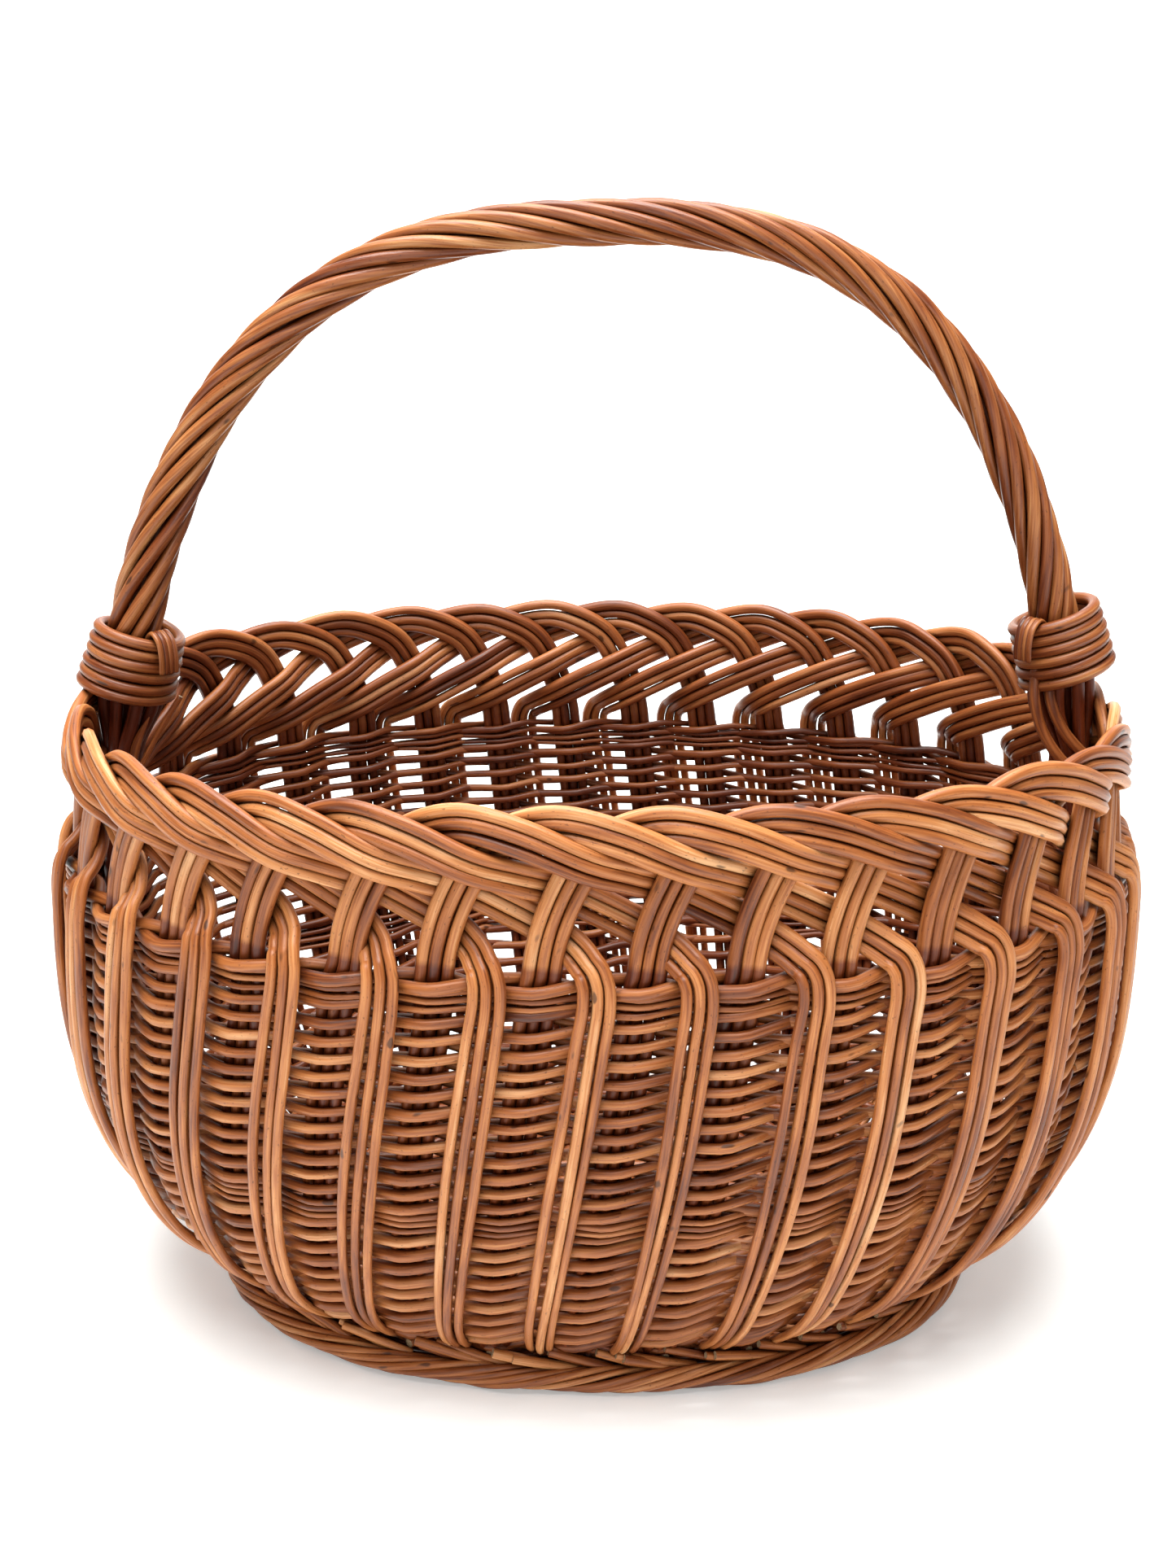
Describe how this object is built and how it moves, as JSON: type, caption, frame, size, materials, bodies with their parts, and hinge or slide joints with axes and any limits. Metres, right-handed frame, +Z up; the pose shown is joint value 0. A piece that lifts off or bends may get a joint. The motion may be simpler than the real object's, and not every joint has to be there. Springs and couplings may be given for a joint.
{
  "type": "wicker basket",
  "caption": "Oval woven willow basket with an openwork border, outer ribs, a rolled foot border and a fixed roped bow handle bound to the rim.",
  "frame": {"origin": "on the floor under the middle of the foot border", "axes": "+Z up, +X along the basket's long side and the handle's arch, +Y towards the back"},
  "size_m": [0.436, 0.304, 0.4339],
  "materials": {
    "willow_weave": "satin varnish",
    "willow_stakes": "satin varnish",
    "willow_handle": "satin varnish",
    "willow_foot": "satin varnish",
    "willow_base": "satin varnish",
    "willow_bow": "satin varnish",
    "willow_binding": "satin varnish"
  },
  "bodies": {
    "root": {"weave_lower": "willow_weave", "weave_fine_lower": "willow_weave", "weave_upper": "willow_weave", "weave_fine_upper": "willow_weave", "top_row": "willow_weave", "stake_group_01": "willow_stakes", "stake_group_02": "willow_stakes", "stake_group_03": "willow_stakes", "stake_group_04": "willow_stakes", "stake_group_05": "willow_stakes", "stake_group_06": "willow_stakes", "stake_group_07": "willow_stakes", "stake_group_08": "willow_stakes", "stake_group_09": "willow_stakes", "stake_group_10": "willow_stakes", "stake_group_11": "willow_stakes", "stake_group_12": "willow_stakes", "stake_group_13": "willow_stakes", "stake_group_14": "willow_stakes", "stake_group_15": "willow_stakes", "stake_group_16": "willow_stakes", "stake_group_17": "willow_stakes", "stake_group_18": "willow_stakes", "stake_group_19": "willow_stakes", "stake_group_20": "willow_stakes", "stake_group_21": "willow_stakes", "stake_group_22": "willow_stakes", "stake_group_23": "willow_stakes", "stake_group_24": "willow_stakes", "stake_group_25": "willow_stakes", "stake_group_26": "willow_stakes", "stake_group_27": "willow_stakes", "stake_group_28": "willow_stakes", "stake_group_29": "willow_stakes", "stake_group_30": "willow_stakes", "stake_group_31": "willow_stakes", "stake_group_32": "willow_stakes", "stake_group_33": "willow_stakes", "stake_group_34": "willow_stakes", "handle_rod_01": "willow_handle", "handle_rod_02": "willow_handle", "handle_rod_03": "willow_handle", "handle_rod_04": "willow_handle", "handle_rod_05": "willow_handle", "handle_rod_06": "willow_handle", "handle_rod_07": "willow_handle", "handle_rod_08": "willow_handle", "foot_border": "willow_foot", "foot_rod_ends": "willow_foot", "base_weave": "willow_base", "base_cross_sticks": "willow_base", "base_long_sticks": "willow_base", "handle_bow": "willow_bow", "binding_left": "willow_binding", "binding_right": "willow_binding", "binding_loop_left": "willow_binding", "binding_loop_right": "willow_binding"}
  },
  "joints": []
}
